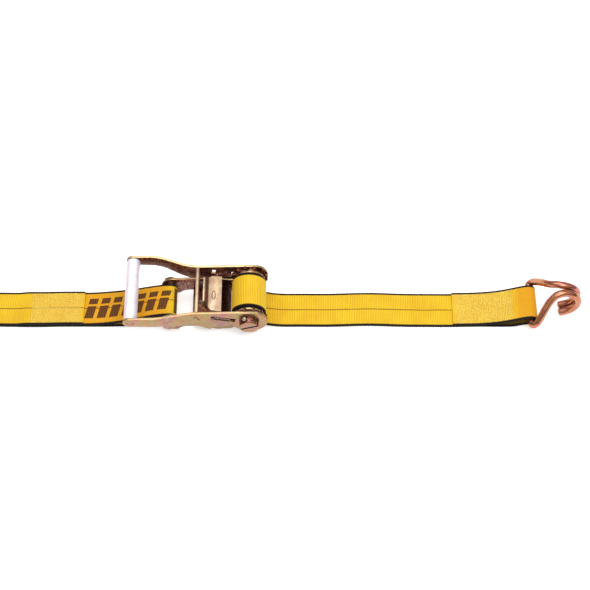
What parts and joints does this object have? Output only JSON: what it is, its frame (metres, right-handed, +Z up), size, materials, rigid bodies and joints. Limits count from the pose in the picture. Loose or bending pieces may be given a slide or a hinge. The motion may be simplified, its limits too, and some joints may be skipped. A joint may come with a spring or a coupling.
{
  "type": "ratchet tie down",
  "caption": "Ratchet tie down: long-handled ratchet between a short fixed strap and a load strap of yellow webbing, with a double wire J-hook at each end.",
  "frame": {"origin": "on the surface it lies on, straight below the ratchet's spool axis, in its middle plane", "axes": "+X towards the load strap's hook, +Y across the webbing, +Z up"},
  "size_m": [0.8754, 0.097, 0.0618],
  "materials": {
    "yellow_zinc": "semi-gloss yellow zinc plate, faintly iridescent",
    "pale_zinc": "bright pale yellow zinc plate",
    "dark_zinc": "dark shaded zinc plate",
    "hook_zinc": "glossy coppery zinc plate",
    "spring_steel": "satin",
    "plated_grip": "smooth near-white coat",
    "webbing": "woven polyester with dark selvages"
  },
  "bodies": {
    "frame": {"frame_plate_near": "yellow_zinc", "frame_plate_far": "yellow_zinc", "frame_base": "dark_zinc", "anchor_bolt": "yellow_zinc", "anchor_nut": "yellow_zinc", "anchor_sleeve": "spring_steel", "load_strap": "webbing", "fixed_strap": "webbing", "lock_spring_near": "spring_steel", "lock_spring_far": "spring_steel"},
    "spool": {"mandrel_half_upper": "yellow_zinc", "mandrel_half_lower": "yellow_zinc", "wound_webbing": "webbing", "ratchet_wheel_near": "dark_zinc", "ratchet_wheel_far": "dark_zinc", "cotter_pin_near": "spring_steel", "cotter_pin_far": "spring_steel"},
    "handle": {"handle_arm_near": "yellow_zinc", "handle_arm_far": "yellow_zinc", "grip_rod": "yellow_zinc", "grip_sleeve": "plated_grip", "crossbar": "pale_zinc", "drive_spring_near": "spring_steel", "drive_spring_far": "spring_steel"},
    "drive_pawl": {"drive_pawl": "pale_zinc"},
    "lock_pawl": {"lock_pawl": "yellow_zinc"},
    "load_hook": {"load_hook": "hook_zinc"},
    "fixed_hook": {"fixed_hook": "hook_zinc"}
  },
  "joints": [
    {"name": "handle_swing", "type": "hinge", "parent": "frame", "child": "handle", "pos_m": [0, 0, 0.036], "axis": [0, 1, 0], "range_deg": [0, 180]},
    {"name": "spool_spin", "type": "hinge", "parent": "frame", "child": "spool", "pos_m": [0, 0, 0.036], "axis": [0, 1, 0], "continuous": true},
    {"name": "drive_pawl_slide", "type": "slide", "parent": "handle", "child": "drive_pawl", "axis": [0.9748, 0, -0.2233], "range_m": [-0.003, 0.005], "stiffness_N_per_m": 400, "deforming": ["drive_spring_near", "drive_spring_far"]},
    {"name": "lock_pawl_slide", "type": "slide", "parent": "frame", "child": "lock_pawl", "axis": [0.9659, 0, 0.2588], "range_m": [-0.005, 0], "stiffness_N_per_m": 400, "springref_m": 0.004, "deforming": ["lock_spring_near", "lock_spring_far"]},
    {"name": "load_hook_pivot", "type": "hinge", "parent": "frame", "child": "load_hook", "pos_m": [0.372, 0, 0.0155], "axis": [0, 1, 0], "range_deg": [-75, 45]},
    {"name": "fixed_hook_pivot", "type": "hinge", "parent": "frame", "child": "fixed_hook", "pos_m": [-0.372, 0, 0.0155], "axis": [0, -1, 0], "range_deg": [-75, 45]}
  ]
}
